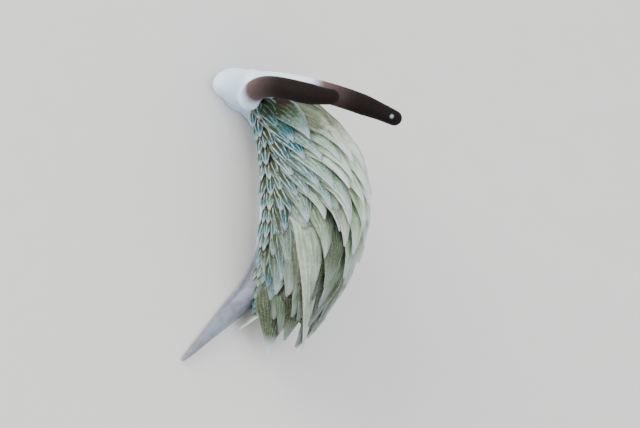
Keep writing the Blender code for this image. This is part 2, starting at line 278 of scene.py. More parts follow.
# %% [markdown]
# The head carries two rounded lips with the mouth's slit between them, and a brow swells between the
# feelers. Behind the head a hump covers the heart. All four are spheres stretched to size. Sculpting would
# give the same soft forms, but a sphere with three named radii is easier to set and to change.

# %% Lips, brow and the hump over the heart
LIP_PLACE, LIP_APART, LIP_LEVEL = 4.50, 0.34, 0.26
LIP_RADII = (0.17, 0.15, 0.14)
HUMP_PLACE, HUMP_LEVEL = 2.55, 0.62
HUMP_RADII = (0.34, 0.50, 0.30)
BROW_PLACE, BROW_ASIDE, BROW_LEVEL = 3.62, -0.22, 0.66
BROW_RADII = (0.42, 0.55, 0.40)


def stretched_ball(place, aside, level, radii):
    """A sphere stretched across the body, along it and upwards, turned to the body's way."""
    centre = spine(place) + leftwards(place) * aside + UP * level
    bpy.ops.mesh.primitive_uv_sphere_add(
        segments=BALL_SEGMENTS, ring_count=BALL_RINGS, radius=1,
        location=centre, rotation=(0, 0, heading(place)))
    made = bpy.context.object
    made.scale = radii
    bpy.ops.object.transform_apply(location=True, rotation=True, scale=True)
    return made


swellings = [
    *(stretched_ball(LIP_PLACE, aside, LIP_LEVEL, LIP_RADII) for aside in (LIP_APART / 2, -LIP_APART / 2)),
    stretched_ball(HUMP_PLACE, 0, HUMP_LEVEL, HUMP_RADII),
    stretched_ball(BROW_PLACE, BROW_ASIDE, BROW_LEVEL, BROW_RADII),
]
print("swellings:", len(swellings))

# %% [markdown]
# Real skin has no seam between the trunk, the foot and the feelers. A voxel remesh melts the overlapping
# shapes into one closed surface, and a smoothing pass rounds the creases where they met. A Boolean union
# would keep every shape exact, but it would leave sharp lines at the joins.

# %% One skin
VOXEL = 0.03
SMOOTHING, SMOOTHING_PASSES = 0.5, 15

only(trunk)
for piece in [foot, *feelers, *swellings]:
    piece.select_set(True)
bpy.ops.object.join()
skin = bpy.context.object
skin.name = "skin"
melt = skin.modifiers.new("Melt", "REMESH")
melt.mode = "VOXEL"
melt.voxel_size = VOXEL
soften = skin.modifiers.new("Soften", "SMOOTH")
soften.factor = SMOOTHING
soften.iterations = SMOOTHING_PASSES
apply_modifiers(skin)
print("skin faces:", len(skin.data.polygons))

# %% [markdown]
# The mouth is a short slit between the lips, low on the front of the head. It is pressed into the skin by
# moving the points near it inwards, as a sculpting brush would, and the sole is pressed flat on the floor.

# %% The mouth and the sole
MOUTH_PLACE, MOUTH_LEVEL = 4.70, 0.25
MOUTH_HALF_WIDTH, MOUTH_HALF_HEIGHT, MOUTH_DEPTH = 0.20, 0.045, 0.10
MOUTH_BEND, MOUTH_REACH = 0.8, 0.4
SOLE_LEVEL = 0.003


def press_mouth(piece):
    front, side = spine(MOUTH_PLACE), leftwards(MOUTH_PLACE)
    ahead = side.cross(UP)
    for vert in piece.data.vertices:
        away = vert.co - front
        across, forward = away.dot(side), away.dot(ahead)
        level = vert.co.z - MOUTH_LEVEL - MOUTH_BEND * across * across
        if forward > -MOUTH_REACH and abs(across) < MOUTH_HALF_WIDTH and abs(level) < 2 * MOUTH_HALF_HEIGHT:
            depth = (1 - (across / MOUTH_HALF_WIDTH) ** 2) * math.exp(-((level / MOUTH_HALF_HEIGHT) ** 2))
            vert.co -= ahead * (MOUTH_DEPTH * depth)
        vert.co.z = max(vert.co.z, SOLE_LEVEL)


press_mouth(skin)
print("lowest point of the skin:", round(min(v.co.z for v in skin.data.vertices), 4), "mm")

# %% [markdown]
# The feelers are dark over most of their length and white at the root. The material can only colour them
# well if each point of the skin knows how far along a feeler it lies, so that share is kept in an
# attribute. The same is done for the white speck near a feeler's tip, for the tail, which is clearer than
# the rest, and for the skin under the coat, where the green gut shines through. Painting by hand would do,
# but a point's place is known to the script.

# %% Mark the feelers and the tail on the skin
FEELER_REACH = 0.40
SPECK, SPECK_RADIUS, SPECK_CORE = (1.25, 2.47, 3.51), 0.07, 0.035
FEELER_DARK_FROM = {"left": 0.08, "right": 0.48}
FEELER_DARKENS = {"left": 0.85, "right": 1.4}
MARK_STEPS = 120
UNDER_COAT_FRONT, UNDER_COAT_REAR, UNDER_COAT_FADES = 2.7, -1.4, 0.4
UNDER_COAT_LEVEL, UNDER_COAT_RISES = 0.14, 0.15


def bezier(points, t):
    """Points of a cubic Bezier curve at the shares t."""
    a, b, c, d = (np.array(p, dtype=float) for p in points)
    t = np.asarray(t, dtype=float)[:, None]
    return a * (1 - t) ** 3 + 3 * b * t * (1 - t) ** 2 + 3 * c * t * t * (1 - t) + d * t ** 3


def point_values(piece, name, values):
    layer = piece.data.attributes.new(name, "FLOAT", "POINT")
    layer.data.foreach_set("value", np.asarray(values, dtype=np.float32))


def coordinates(piece):
    flat = np.empty(len(piece.data.vertices) * 3)
    piece.data.vertices.foreach_get("co", flat)
    return flat.reshape(-1, 3)


def nearest(points, line):
    """Which point of the line is nearest to each of the points, and how far off it is."""
    away = np.linalg.norm(points[:, None] - line[None], axis=2)
    return away.argmin(axis=1), away.min(axis=1)


def mark_skin(piece):
    points = coordinates(piece)
    dark = np.full(len(points), -1.0)
    shares = np.linspace(0, 1, MARK_STEPS)
    for side, path in RHINOPHORES.items():
        beside, away = nearest(points, bezier(path, shares))
        past = (shares[beside] - FEELER_DARK_FROM[side]) * FEELER_DARKENS[side]
        dark = np.where(away < FEELER_REACH, np.maximum(dark, past), dark)
    point_values(piece, "dark_share", dark)
    from_speck = np.linalg.norm(points - np.array(SPECK), axis=1)
    point_values(piece, "speck", np.clip((SPECK_RADIUS - from_speck) / SPECK_CORE, 0, 1))
    places = np.linspace(TAIL_END, HEAD_END, MARK_STEPS)
    line = np.array([spine(p) for p in places])
    place = places[nearest(points[:, :2], line[:, :2])[0]]
    point_values(piece, "tail_share", np.clip(-place / -TAIL_END, 0, 1))
    under = np.clip((UNDER_COAT_FRONT - place) / UNDER_COAT_FADES, 0, 1)
    under *= np.clip((place - UNDER_COAT_REAR) / UNDER_COAT_FADES, 0, 1)
    under *= np.clip((points[:, 2] - UNDER_COAT_LEVEL) / UNDER_COAT_RISES, 0, 1)
    point_values(piece, "under_coat", under)


mark_skin(skin)
print("marked", len(skin.data.vertices), "points of the skin")

# %% [markdown]
# One ceras is a flat leaf with a narrow root, a full middle and a pointed tip. It is modelled once: a
# cylinder is cut into rings and each ring is resized to the leaf's outline. A flat plane with Solidify
# would be quicker, but a real ceras is a thin bag, thickest along its middle, and a tube gives that. The
# slug has two hundred of them, so the leaf has few faces. Only the long ones at the rear get a finer leaf,
# rounded by subdivision.

# %% Model one leaf
LEAF_SIDES = 8
LEAF_RIM_PLACE, LEAF_RIM_WIDER = math.sqrt(0.5), 1.2
LEAF_ROOT_POINT, LEAF_TIP_POINT, LEAF_POINT_WITHIN = -0.04, 1.03, 0.5
LEAF_STATIONS = (
    (0.0, 0.46, 0.55), (0.16, 0.68, 0.84), (0.36, 0.92, 1.00), (0.56, 1.00, 0.95),
    (0.72, 0.90, 0.80), (0.85, 0.66, 0.60), (0.94, 0.38, 0.40), (1.0, 0.14, 0.18),
)


def build_leaf(name, roundings):
    """A flat leaf of half width 1 and half thickness 1, from its root at y = 0 to its tip at y = 1."""
    made = lying_cylinder(name, LEAF_SIDES, 0, 1, ends="TRIFAN")
    bpy.ops.mesh.select_all(action="SELECT")
    bpy.ops.transform.rotate(value=math.pi / 2, orient_axis="Y", center_override=(0, 0, 0))
    select_where(made, lambda co: abs(abs(co.x) - LEAF_RIM_PLACE) < RING_TOLERANCE)
    bpy.ops.transform.resize(value=(LEAF_RIM_WIDER, 1, 1), center_override=(0, 0, 0))
    cut_rings(LEAF_STATIONS)
    for end, point in ((0, LEAF_ROOT_POINT), (1, LEAF_TIP_POINT)):
        select_where(
            made, lambda co: abs(co.y - end) < RING_TOLERANCE and co.xz.length < LEAF_POINT_WITHIN)
        bpy.ops.transform.translate(value=(0, point - end, 0))
    for place, half_width, half_depth in LEAF_STATIONS:
        select_where(made, lambda co: abs(co.y - place) < RING_TOLERANCE)
        bpy.ops.transform.resize(value=(half_width, 1, half_depth), center_override=(0, place, 0))
    bpy.ops.object.mode_set(mode="OBJECT")
    if roundings:
        round_off(made, roundings)
    return made


leaf, long_leaf = build_leaf("leaf", roundings=0), build_leaf("long_leaf", roundings=2)
for made in (leaf, long_leaf):
    print(made.name, "faces:", len(made.data.polygons), "points:", len(made.data.vertices))

# %% [markdown]
# On the animal the cerata lie close, like the feathers of a folded wing, so the coat has a smooth outline:
# high in the middle, leaning to the right and tapering to the rear. That outline is described first, as an
# arch at each place: where its middle lies, its half width and its height. Growing each leaf freely would
# be simpler, but the coat would look ruffled.

# %% The outline of the coat
COAT_OUTLINE = (
    (-4.10, 0.06, 0.50, 1.15), (-3.50, 0.07, 0.84, 1.78), (-2.80, 0.12, 1.09, 2.35),
    (-2.30, 0.26, 1.20, 2.66), (-1.55, 0.44, 1.26, 3.02), (-0.40, 0.50, 1.29, 3.34),
    (0.34, 0.45, 1.30, 3.36), (1.22, 0.28, 1.27, 3.12), (2.09, -0.05, 1.18, 2.88),
    (2.50, -0.26, 1.12, 2.74), (2.80, -0.48, 1.06, 2.52), (3.10, -0.66, 0.92, 2.10),
)
COAT_AXIS_LEVEL = 0.5


def coat_point(around, y, depth):
    """A point of the coat. Around is 0 on top, -90 at the left edge and 90 at the right edge, in degrees.
    Depth is 1 on the outline and 0 on the coat's axis."""
    places, middles, widths, heights = zip(*COAT_OUTLINE)
    middle, width, height = (float(np.interp(y, places, sizes)) for sizes in (middles, widths, heights))
    angle = math.radians(around)
    out = Vector((width * math.sin(angle), 0, (height - COAT_AXIS_LEVEL) * math.cos(angle)))
    return Vector((middle, y, COAT_AXIS_LEVEL)) + out * depth


def trunk_point(place, side, lean):
    """The point of the trunk's skin at a lean from straight up, in degrees. Side 1 is the slug's left."""
    half_width, low, high = along(TRUNK, place)
    middle = (low + high) / 2
    angle = math.radians(lean)
    out = leftwards(place) * (side * half_width * math.sin(angle))
    return spine(place) + out + UP * (middle + (high - middle) * math.cos(angle))


print("top of the coat:", [round(v, 2) for v in coat_point(0, 0, 1)])

# %% [markdown]
# The cerata grow in rows, in eight tiers on each side. The upper ones are broad and long, and the lower
# ones ever smaller and more of them. On the left they sweep up over the back, and on the right they hang
# along the side. Angles are in degrees around the coat, from its top, and side 1 is the slug's left.

# %% The tiers of the coat
TIER_ROWS = (10, 10, 11, 12, 13, 14, 15, 16)
TIER_WIDTHS = (0.96, 0.90, 0.80, 0.70, 0.58, 0.50, 0.43, 0.36)
TIER_LENGTHS = (2.15, 2.00, 1.70, 1.42, 1.16, 0.96, 0.80, 0.68)
TIER_POINTS = (0.50, 0.50, 0.42, 0.35, 0.30, 0.25, 0.20, 0.15)
TIER_STARTS = {1: (-34, -48, -59, -68, -75, -81, -86, -90), -1: (6, 24, 40, 54, 66, 77, 84, 90)}
TIER_SWEEPS = {1: (44, 42, 37, 30, 21, 13, 7, 3), -1: (6, 6, 5, 4, 3, 2, 0, 0)}
TIER_DEPTHS = (0.08, 0.08, 0.08, 0.08, 0.08, 0.08, 0.08, 0.07)
print("cerata in the tiers of both sides:", 2 * sum(TIER_ROWS))

# %% [markdown]
# Each ceras springs from the trunk, comes up to the outline of the coat and lies along it. Its path is a
# Bezier curve of four points: the root, two that bend it and the tip. A seeded random draw moves each one a
# little, and gives the same coat each time. Hair or geometry nodes could scatter leaves too, but here every
# leaf's place counts.

# %% Where each ceras grows
SWEEP_BY_SHARE = ((0.0, 0.50), (0.2, 0.70), (0.45, 0.50), (0.7, 0.25), (1.0, 0.0))
SWEEP_BEND = 0.80
LENGTH_BY_SHARE = ((0.0, 0.90), (0.25, 1.0), (0.6, 1.20), (0.85, 0.88), (1.0, 0.62))
FRONT_ROW, REAR_ROW = 2.95, -2.85
ROOT_AHEAD, ROOT_SUNK, STEEPEST_LEAN = 0.25, 0.12, 100
START_DEPTH, MIDDLE_DEPTH = 0.84, 1.02
UPPER_TIP_DEPTH, LOWER_TIP_DEPTH = 1.0, 1.035
FLANK_FROM, FLANK_OVER, FLANK_PRESSED = 70, 15, 0.10
PLACE_PLAY, AROUND_PLAY, SIZE_PLAY, DEPTH_PLAY = 0.07, 3.5, 0.09, 0.01
TWIST_PLAY = 0.15
CALMEST, TIERS_BELOW_TOP, TIP_TIERS = 0.7, 7, 3
BEND_BACK = 0.45
SEED = 5


def grow_ceras(tier, row, side, draw):
    """One ceras: its path and its own values."""
    share = (row + 0.5 * (tier % 2)) / TIER_ROWS[tier]
    y = FRONT_ROW + (REAR_ROW - FRONT_ROW) * share + draw.uniform(-PLACE_PLAY, PLACE_PLAY)
    size = 1 + draw.uniform(-SIZE_PLAY, SIZE_PLAY)
    around_play = AROUND_PLAY * (1 - CALMEST * smooth(tier / TIERS_BELOW_TOP))
    start = TIER_STARTS[side][tier] + draw.uniform(-around_play, around_play)
    sweep = TIER_SWEEPS[side][tier] * along(SWEEP_BY_SHARE, share)[0]
    sweep += draw.uniform(-around_play, around_play)
    long = TIER_LENGTHS[tier] * along(LENGTH_BY_SHARE, share)[0] * size
    pressed = FLANK_PRESSED * smooth((-start - FLANK_FROM) / FLANK_OVER)
    tip_depth = UPPER_TIP_DEPTH + (LOWER_TIP_DEPTH - UPPER_TIP_DEPTH) * smooth(tier / TIP_TIERS)
    depth = draw.uniform(-DEPTH_PLAY, DEPTH_PLAY) - pressed
    lean = min(abs(start), STEEPEST_LEAN)
    place = min(y + ROOT_AHEAD, FRONT_ROW)
    root = trunk_point(place, side, lean)
    inwards = (spine(place) + UP * COAT_AXIS_LEVEL - root).normalized()
    path = (
        root + inwards * ROOT_SUNK,
        coat_point(start, y, START_DEPTH + depth),
        coat_point(start + SWEEP_BEND * sweep, y - BEND_BACK * long, MIDDLE_DEPTH + depth),
        coat_point(start + sweep, y - long, tip_depth + depth),
    )
    return {
        "path": path, "side": side, "tier": tier, "share": share,
        "width": TIER_WIDTHS[tier] * size, "depth": TIER_DEPTHS[tier], "point": TIER_POINTS[tier],
        "twist": draw.uniform(-TWIST_PLAY, TWIST_PLAY), "chance": draw.random(), "leaf": "leaf",
    }


draw = random.Random(SEED)
coat = [
    grow_ceras(tier, row, side, draw)
    for tier, rows in enumerate(TIER_ROWS) for row in range(rows) for side in (1, -1)
]
print("cerata:", len(coat))

# %% [markdown]
# The cerata differ in colour. Those low on the left are deep teal, those on top and on the right are pale,
# and the foremost have a dark brown blush. The green gut shows most in the roots of the lowest, and the
# tips are white like snow. Towards the rear a painted shade darkens the cerata to a dark olive and dims
# their white. So each leaf gets a few values of its own, and one material reads them all. A material for
# each kind of leaf would show hard borders between the kinds.

# %% Colour values of each ceras
BLUSH = {(1, 0): 0.5, (2, 0): 0.9, (3, 0): 0.4, (6, 0): 1.0, (6, 1): 0.5, (7, 0): 1.0, (7, 1): 0.6}
OLIVE_ROWS, OLIVE_TIERS = 1, 5
LEFT_TEAL, TEAL_FROM_TIER = 0.5, 4.2
LOWER_TONE, FRONT_TONE, CHANCE_TONE = 0.88, 0.10, 0.3
FRONT_UNTIL, FRONT_FADES = 0.15, 0.5
# The last of these says how much white the tips lose under the painted shade at the rear.
SNOW, SNOW_BY_TONE, SNOW_LOST_IN_REAR_SHADE = 0.32, 0.18, 0.75
CREST_OLIVE, HOOD_OLIVE = 0.75, 0.95
GUT, GUT_BELOW, GUT_FROM_TIER, GUT_OVER = 0.40, 0.80, 2.2, 3
# This line sets where the painted shade of the rear cerata begins, how far it reaches, how it grows and how
# much weaker it is on the right.
REAR_SHADE_STARTS, REAR_SHADE_REACH, REAR_SHADE_POWER, RIGHT_REAR_SHADE = 1.3, 5.1, 1.2, 0.85

for ceras in coat:
    on_left = ceras["side"] == 1
    lower = smooth((ceras["tier"] + LEFT_TEAL * on_left) / TEAL_FROM_TIER)
    front = 1 - smooth((ceras["share"] - FRONT_UNTIL) / FRONT_FADES)
    deep = LOWER_TONE * lower + FRONT_TONE * front * on_left + CHANCE_TONE * (ceras["chance"] - 0.5)
    ceras["tone"] = min(1.0, max(0.0, deep))
    # The rear value is the strength of a painted shade that darkens the rear cerata and takes white from
    # their tips, weaker on the right.
    ceras["rear"] = smooth((REAR_SHADE_STARTS - ceras["path"][-1].y) / REAR_SHADE_REACH) ** REAR_SHADE_POWER
    ceras["rear"] *= 1 if on_left else RIGHT_REAR_SHADE
    ceras["gut"] = GUT + GUT_BELOW * smooth((ceras["tier"] - GUT_FROM_TIER) / GUT_OVER)
    ceras["snow"] = (SNOW + SNOW_BY_TONE * ceras["tone"]) * (1 - SNOW_LOST_IN_REAR_SHADE * ceras["rear"])
    row = round(ceras["share"] * TIER_ROWS[ceras["tier"]] - 0.5 * (ceras["tier"] % 2))
    ceras["blush"] = BLUSH.get((ceras["tier"], row), 0.0) if on_left else 0.0
    hood = row < OLIVE_ROWS and ceras["tier"] < OLIVE_TIERS
    ceras["olive"] = hood * (HOOD_OLIVE if on_left and ceras["tier"] > 0 else CREST_OLIVE)
print("blushed cerata:", sum(c["blush"] > 0 for c in coat))

# %% [markdown]
# Two cerata at the rear are far longer than the rest and trail behind the coat like the ends of a scarf,
# and a small pale one lies beside the root of the tail. Their paths are set point by point. The random draw
# could place them too, but then their tips would end up anywhere.

# %% The long cerata that trail at the rear
# The rear value of each long ceras sets how much painted shade darkens it.
TRAIN = (
    {"path": ((-0.40, -0.30, 1.30), (-0.80, -0.60, 2.75), (-0.56, -2.70, 2.90), (0.50, -4.08, 1.14)),
     "width": 0.80, "rear": 0.40, "snow": 0.3},
    {"path": ((-0.70, -2.10, 0.60), (-0.92, -2.45, 1.35), (-0.92, -3.30, 1.50), (-0.26, -4.34, 0.54)),
     "width": 0.96, "rear": 0.98, "snow": 0.6},
    {"path": ((-0.05, -2.45, 0.55), (-0.35, -2.85, 0.50), (-0.62, -3.18, 0.34), (-0.98, -3.62, 0.10)),
     "width": 0.62, "rear": 0.25, "snow": 0.6},
)
TRAIN_VALUES = {
    "side": 1, "tier": 0, "share": 0.6, "depth": TIER_DEPTHS[0], "point": 0.4, "twist": 0.0,
    "tone": 0.22, "blush": 0.0, "olive": 0.0, "gut": 0.15, "leaf": "long_leaf",
}

for long_one in TRAIN:
    coat.append({**TRAIN_VALUES, **long_one, "chance": draw.random()})
print("cerata with the long ones:", len(coat))

# %% [markdown]
# A copy of the leaf is bent along each path by arithmetic on all its points at once. That is what a Curve
# modifier does too, but two hundred curves and modifiers would take far longer, and here the twist and the
# cup of each leaf come in the same step. A real ceras is cupped over those below it, and its edge waves.

# %% Bend a leaf along a path
PALE_CUP, DEEP_CUP = 0.30, 0.20
EDGE_WAVE, EDGE_WAVES = 0.05, 1.6
POINT_FROM = 0.45


def unit(rows):
    return rows / np.linalg.norm(rows, axis=1, keepdims=True)


def bezier_way(points, t):
    a, b, c, d = (np.array(p, dtype=float) for p in points)
    t = np.asarray(t, dtype=float)[:, None]
    return unit(3 * (b - a) * (1 - t) ** 2 + 6 * (c - b) * t * (1 - t) + 3 * (d - c) * t * t)


def laid_leaf(ceras, leaf_points):
    """The points of one leaf along a ceras's path, twisted and cupped."""
    across, share, deep = leaf_points.T
    t = np.clip(share, 0, 1)
    way = bezier_way(ceras["path"], t)
    centre = bezier(ceras["path"], t) + way * ((share - t) * ceras["width"])[:, None]
    places, middles = [sizes[0] for sizes in COAT_OUTLINE], [sizes[1] for sizes in COAT_OUTLINE]
    axis = np.stack([np.interp(centre[:, 1], places, middles), centre[:, 1],
                     np.full(len(centre), COAT_AXIS_LEVEL)], axis=1)
    outwards = centre - axis
    thick = unit(outwards - way * (outwards * way).sum(axis=1, keepdims=True))
    broad = np.cross(way, thick)
    turn = (ceras["twist"] * t)[:, None]
    broad, thick = broad * np.cos(turn) + thick * np.sin(turn), thick * np.cos(turn) - broad * np.sin(turn)
    narrowed = np.clip((share - POINT_FROM) / (1 - POINT_FROM), 0, 1)
    half = ceras["width"] / 2 * (1 - ceras["point"] * narrowed)
    wave = EDGE_WAVE * across * np.sin(math.tau * (EDGE_WAVES * share + ceras["chance"]))
    cup = PALE_CUP + (DEEP_CUP - PALE_CUP) * ceras["tone"]
    lift = deep * ceras["depth"] / 2 - cup * half * across ** 2 + wave * ceras["width"]
    return centre + broad * (across * half)[:, None] + thick * lift[:, None]


reach = laid_leaf(coat[0], coordinates(leaf)).max(axis=0)
print("the first ceras reaches", [round(float(v), 2) for v in reach], "mm")

# %% [markdown]
# The coat becomes four pieces, two on each side, as two hundred objects would be slow to handle. Each leaf
# keeps its own map and its own values for the material, and gets its own patch of the bake map, so that no
# two share a spot of the texture. Joining real objects with Join would do the same, but far more slowly.

# %% Join the leaves into four pieces
PATCH_ROOM = 0.06
LENGTH_STEPS = 24
LEAF_VALUES = ("chance", "tone", "rear", "blush", "olive", "gut", "snow", "long", "broad")
UPPER_TIERS = 3


def path_length(path):
    line = bezier(path, np.linspace(0, 1, LENGTH_STEPS))
    return float(np.linalg.norm(np.diff(line, axis=0), axis=1).sum())


def read_leaf(made):
    """A leaf's points, its faces and how far each point lies across the leaf, from -1 to 1."""
    leaf_points = coordinates(made)
    profile = np.interp(leaf_points[:, 1], [s[0] for s in LEAF_STATIONS], [s[1] for s in LEAF_STATIONS])
    across = np.clip(leaf_points[:, 0] / profile, -1, 1)
    return leaf_points, [list(face.vertices) for face in made.data.polygons], across


leaf_data = {made.name: read_leaf(made) for made in (leaf, long_leaf)}


def lay_cerata(name, cerata):
    """All the given cerata as one mesh, with the leaf's own map and the bake map."""
    points, joined, leaf_map, bake_map = [], [], [], []
    values = {key: [] for key in LEAF_VALUES}
    columns = math.ceil(math.sqrt(len(cerata)))
    for number, ceras in enumerate(cerata):
        leaf_points, faces, across = leaf_data[ceras["leaf"]]
        start = sum(len(laid) for laid in points)
        points.append(laid_leaf(ceras, leaf_points))
        left, low = number % columns, number // columns
        for face in faces:
            joined.append([start + v for v in face])
            front = np.mean([leaf_points[v][2] for v in face]) > 0
            middle = np.mean([across[v] for v in face])
            for v in face:
                pointed = leaf_points[v][1] > 1.0 or leaf_points[v][1] < 0.0
                u = 0.5 + 0.5 * (middle if pointed else across[v])
                up = (leaf_points[v][1] - LEAF_ROOT_POINT) / (LEAF_TIP_POINT - LEAF_ROOT_POINT)
                leaf_map += (u, leaf_points[v][1])
                half = PATCH_ROOM / 2 + u * (0.5 - PATCH_ROOM) + (0.0 if front else 0.5)
                height = PATCH_ROOM / 2 + up * (1 - PATCH_ROOM)
                bake_map += ((left + half) / columns, (low + height) / columns)
        ceras["long"], ceras["broad"] = path_length(ceras["path"]), ceras["width"]
        for key in values:
            values[key] += [ceras[key]] * len(leaf_points)
    mesh = bpy.data.meshes.new(name)
    mesh.from_pydata(np.concatenate(points).tolist(), [], joined)
    for map_name, spots in (("leaf", leaf_map), ("OFBake", bake_map)):
        mesh.uv_layers.new(name=map_name).data.foreach_set("uv", spots)
    made = bpy.data.objects.new(name, mesh)
    bpy.context.collection.objects.link(made)
    for key, numbers in values.items():
        point_values(made, key, numbers)
    return made


clusters = [
    lay_cerata(f"cerata_{height}_{hand}", [
        c for c in coat if c["side"] == side and (c["tier"] < UPPER_TIERS) == (height == "upper")])
    for hand, side in (("left", 1), ("right", -1)) for height in ("upper", "lower")
]
for made in (leaf, long_leaf):
    bpy.data.objects.remove(made)
print("faces in the coat:", [len(piece.data.polygons) for piece in clusters])

# %% [markdown]
# Two tiny black eyes lie close together in the white skin behind the feelers. The plain solids are already
# balls of the right size, so finer balls take their places, with a clear rounded surface like a lens.

# %% Eyes
EYE_SEGMENTS, EYE_RINGS = 32, 20


def build_eye(name):
    (low, high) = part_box(name)
    middle, size = (Vector(low) + Vector(high)) / 2 / MM, (Vector(high) - Vector(low)) / MM
    bpy.ops.mesh.primitive_uv_sphere_add(
        segments=EYE_SEGMENTS, ring_count=EYE_RINGS, radius=0.5, location=middle)
    made = bpy.context.object
    made.name = name + "_lens"
    made.scale = size
    bpy.ops.object.transform_apply(location=True, rotation=True, scale=True)
    return made


eyes = {name: build_eye(name) for name in ("eye_left", "eye_right")}
print("eyes at", [[round(v, 2) for v in piece.data.vertices[0].co] for piece in eyes.values()])

# %% [markdown]
# Everything is finished at life size: the pieces shrink from millimetres to metres, and their faces are
# shaded smooth. The scale is applied, so that each finished object stands at the origin unscaled.

# %% Life size
def to_life_size(piece):
    only(piece)
    piece.scale = (MM, MM, MM)
    bpy.ops.object.transform_apply(location=True, rotation=True, scale=True)
    bpy.ops.object.shade_smooth()


for piece in [skin, *clusters, *eyes.values()]:
    to_life_size(piece)
print("skin size in mm:", [round(v / MM, 2) for v in skin.dimensions])

# %% [markdown]
# A material here is a small network of nodes, and a few helpers keep each recipe short enough to read like
# a list. These add a node, set its values and link its inputs. The editor does the same with a mouse, but a
# network of forty nodes is easier to follow as lines of text.

# %% Helpers for nodes
def new_material(name):
    made = bpy.data.materials.new(name)
    made.use_nodes = True
    made.node_tree.nodes.clear()
    return made


def set_input(made, node, key, value):
    """Gives an input a number, a colour or another node's output."""
    if isinstance(value, bpy.types.NodeSocket):
        made.node_tree.links.new(value, node.inputs[key])
    else:
        node.inputs[key].default_value = value


def add_node(made, kind, inputs=(), **settings):
    """Adds a node. Inputs are pairs of a socket and what it gets."""
    node = made.node_tree.nodes.new(kind)
    for key, value in settings.items():
        setattr(node, key, value)
    for key, value in inputs:
        set_input(made, node, key, value)
    return node


def math_node(made, operation, first, second=0.0, third=0.0, clamp=False):
    node = add_node(made, "ShaderNodeMath", [(0, first), (1, second), (2, third)],
                    operation=operation, use_clamp=clamp)
    return node.outputs[0]


def times(made, first, second, clamp=False):
    return math_node(made, "MULTIPLY", first, second, clamp=clamp)


def scaled(made, value, factor, plus):
    return math_node(made, "MULTIPLY_ADD", value, factor, plus)


def value_of(made, name):
    """One of the values that the points of a piece carry."""
    return add_node(made, "ShaderNodeAttribute", attribute_name=name).outputs["Fac"]


print("helpers for nodes are ready")

# %% [markdown]
# Skin looks alive when its colours run into each other, so most recipes mix two colours by a soft share,
# and noise makes that share uneven. The last helper joins colour, roughness and bump in one Principled
# shader.

# %% Helpers for colours
def soft_step(made, value, low, high):
    """0 below low and 1 above high, with soft ends. High may be under low, for a falling step."""
    node = add_node(made, "ShaderNodeMapRange", [("Value", value), ("From Min", low), ("From Max", high)],
                    interpolation_type="SMOOTHSTEP")
    return node.outputs["Result"]


def noise(made, spot, scale, detail):
    node = add_node(made, "ShaderNodeTexNoise", [("Vector", spot), ("Scale", scale), ("Detail", detail)])
    return node.outputs["Fac"]


def object_spot(made):
    return add_node(made, "ShaderNodeTexCoord").outputs["Object"]


def blend(made, share, first, second):
    """Mixes two colours. A colour is a tuple or another node's output."""
    node = add_node(made, "ShaderNodeMix", [(0, share), (6, first), (7, second)], data_type="RGBA")
    return node.outputs[2]


def srgb(red, green, blue):
    """A colour picked as screen values of 0 to 255, for a shader."""
    def linear(value):
        value /= 255
        return value / 12.92 if value <= 0.04045 else ((value + 0.055) / 1.055) ** 2.4
    return (linear(red), linear(green), linear(blue), 1.0)


def finish_with(made, colour, settings, roughness=None, bump=None):
    """A Principled shader with its linked colour, roughness and bump and its set values."""
    shader = add_node(made, "ShaderNodeBsdfPrincipled", [("Base Color", colour), *settings.items()])
    if roughness is not None:
        set_input(made, shader, "Roughness", roughness)
    if bump is not None:
        height, strength, distance = bump
        bumped = add_node(made, "ShaderNodeBump", [
            ("Height", height), ("Strength", strength), ("Distance", distance)])
        set_input(made, shader, "Normal", bumped.outputs["Normal"])
    add_node(made, "ShaderNodeOutputMaterial", [(0, shader.outputs[0])])
    return made


print("a middle grey in linear light:", [round(v, 2) for v in srgb(128, 128, 128)[:3]])

# %% [markdown]
# The skin is milky and lets light in, so it gets subsurface scattering with a radius of a third of a
# millimetre. Noise gives it a slight cloudiness, and the tail is clearer than the rest. The feelers'
# pigment is a stippled purple-black that thins out towards the root, and one feeler has a white speck near
# its tip. A noise is given by its scale per metre and its detail, and a soft step by its two ends.

# %% Skin material
MILK, MILK_SHADE = srgb(222, 240, 255), srgb(206, 228, 255)
TAIL_CLEAR, TAIL_WARM = srgb(132, 140, 154), srgb(118, 118, 128)
UNDER_COAT = srgb(52, 60, 16)
PIGMENT_DEEP, PIGMENT_THIN, PIGMENT_FLECK = srgb(16, 5, 3), srgb(98, 78, 80), srgb(96, 78, 76)
SKIN_CLOUD, SKIN_GRAIN, SKIN_STIPPLE = (2200.0, 4.0), (16000.0, 3.0), (24000.0, 2.0)
MILK_CLOUDS, TAIL_CLOUDS, TAIL_CLEARS = (0.35, 0.70), (0.40, 0.65), (0.02, 0.30)
STIPPLE_PLAY, PIGMENT_DEEPENS = 0.16, (0.06, 0.50)
FLECKS, FLECKS_FADE = (0.55, 0.75), (0.60, 0.10)
BORDER_PLAY, BORDER = 0.05, (0.0, 0.14)
SPECK_WHITE = 0.42
SKIN_ROUGHNESS, PIGMENT_ROUGHER = (0.25, 0.38), 0.28
SKIN_HEIGHT = {"grain": 0.7, "cloud": 0.3}
SKIN_BUMP = (0.25, 0.00002)


